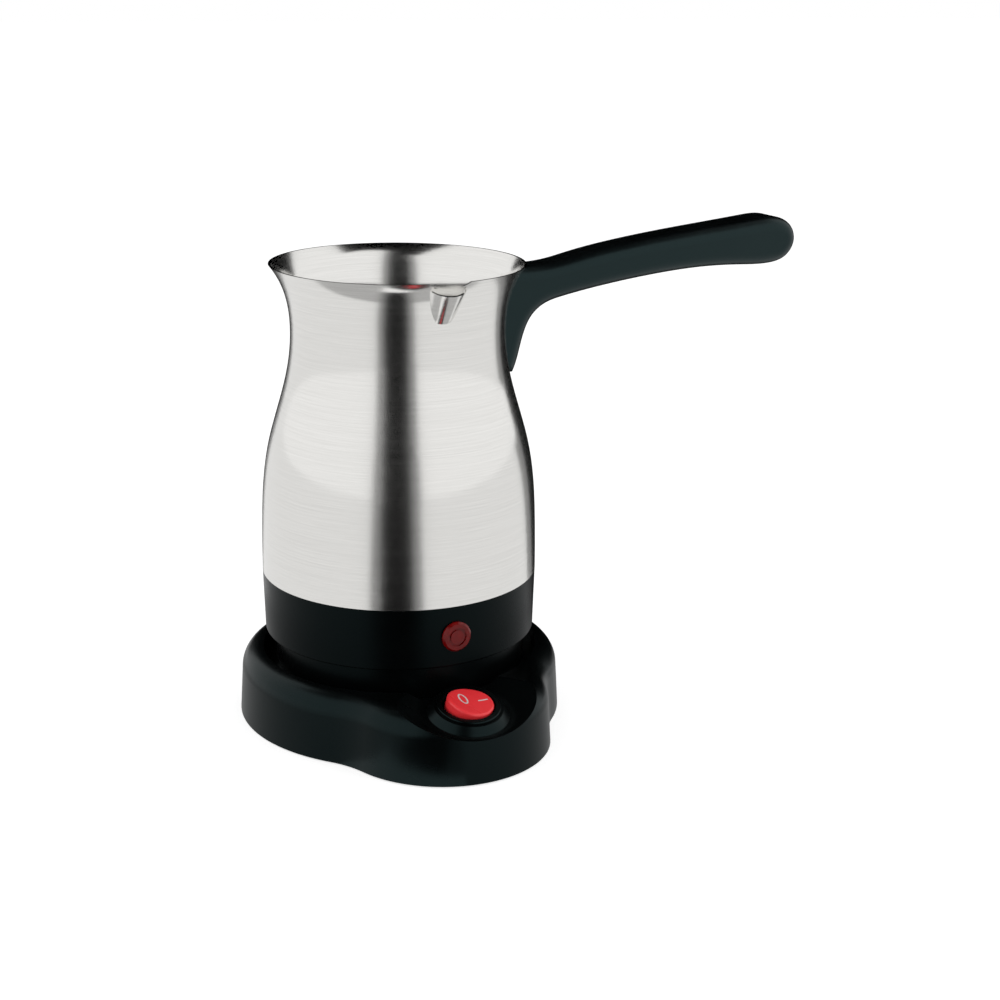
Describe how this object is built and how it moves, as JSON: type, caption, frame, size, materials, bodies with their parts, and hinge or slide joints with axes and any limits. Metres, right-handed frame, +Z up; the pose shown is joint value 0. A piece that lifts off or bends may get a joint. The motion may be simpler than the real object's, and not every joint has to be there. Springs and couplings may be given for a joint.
{
  "type": "electric turkish coffee maker",
  "caption": "Waisted steel coffee pot with a curved black side handle and a signal lamp in its collar, standing on a round corded base with a rocker switch.",
  "frame": {"origin": "on the surface that the feet stand on, at the pot's axis", "axes": "+Z up; the lamp, the switch and the pouring lip face -Y; the handle points along +X; the cord enters the base at the back, +Y"},
  "size_m": [0.2198, 0.1367, 0.173],
  "materials": {
    "black_shell": "satin moulded, black",
    "black_gloss": "polished, black",
    "black_inner": "moulded, black, unseen",
    "steel_brushed": "brushed round the pot",
    "steel_plain": "mill finish",
    "steel_screw": "zinc plated",
    "spring_steel": "wire, plain",
    "aluminium_plate": "rolled",
    "brass_contact": "stamped",
    "rubber_foot": "soft, dull",
    "silicone_seal": "moulded silicone",
    "red_rocker": "gloss, red",
    "red_lens": "gloss, red, clear",
    "phenolic_plug": "moulded phenolic",
    "ceramic_bead": "fired, unglazed",
    "lamp_glass": "neon lamp bulb",
    "lead_sleeve": "braided sleeve"
  },
  "bodies": {
    "base": {"base_shell": "black_shell", "base_plate": "black_inner", "base_screws": "steel_screw", "rubber_feet": "rubber_foot", "cord_gland": "black_inner", "switch_housing": "black_gloss", "switch_terminals": "brass_contact", "base_socket": "phenolic_plug", "base_contacts": "brass_contact", "socket_screws": "steel_screw", "switch_lead": "lead_sleeve"},
    "rocker": {"rocker": "red_rocker", "rocker_plunger": "brass_contact", "rocker_spring": "spring_steel"},
    "contact_lever": {"contact_lever": "brass_contact"},
    "centre_pin": {"centre_pin": "brass_contact"},
    "pot": {"pot_shell": "steel_brushed", "pot_collar": "black_shell", "pot_plug": "phenolic_plug", "contact_rings": "brass_contact", "earth_tag": "brass_contact", "plug_screws": "steel_screw", "collar_seal": "silicone_seal", "collar_posts": "steel_plain", "collar_screws": "steel_screw", "heat_plate": "aluminium_plate", "heating_element": "steel_plain", "element_beads": "ceramic_bead", "element_spades": "steel_plain", "thermostat_cap": "aluminium_plate", "thermostat_body": "phenolic_plug", "thermostat_blades": "brass_contact", "thermostat_strap": "steel_plain", "thermostat_studs": "steel_plain", "thermostat_nuts": "steel_screw", "thermal_fuse": "steel_screw", "fuse_clip": "steel_plain", "lamp_lens": "red_lens", "neon_lamp": "lamp_glass", "lamp_clip": "spring_steel", "handle": "black_shell", "handle_bracket": "steel_plain", "handle_screw": "steel_screw", "live_lead": "lead_sleeve", "thermostat_lead": "lead_sleeve", "neutral_leads": "lead_sleeve", "earth_lead": "lead_sleeve", "lamp_leads": "lead_sleeve"}
  },
  "joints": [
    {"name": "rocker_tilt", "type": "hinge", "parent": "base", "child": "rocker", "pos_m": [0, -0.05918, 0.01934], "axis": [0, 0.9781, 0.2079], "range_deg": [-16, 0]},
    {"name": "contact_tilt", "type": "hinge", "parent": "base", "child": "contact_lever", "pos_m": [0, -0.05765, 0.01211], "axis": [0, 0.9781, 0.2079], "range_deg": [0, 14]},
    {"name": "pot_lift", "type": "slide", "parent": "base", "child": "centre_pin", "axis": [0, 0, 1], "range_m": [0, 0.07]},
    {"name": "pot_turn", "type": "hinge", "parent": "centre_pin", "child": "pot", "pos_m": [0, 0, 0.03], "axis": [0, 0, 1], "continuous": true}
  ],
  "couplings": [
    {"joint": "contact_tilt", "follows": "rocker_tilt", "ratio": -0.875}
  ]
}
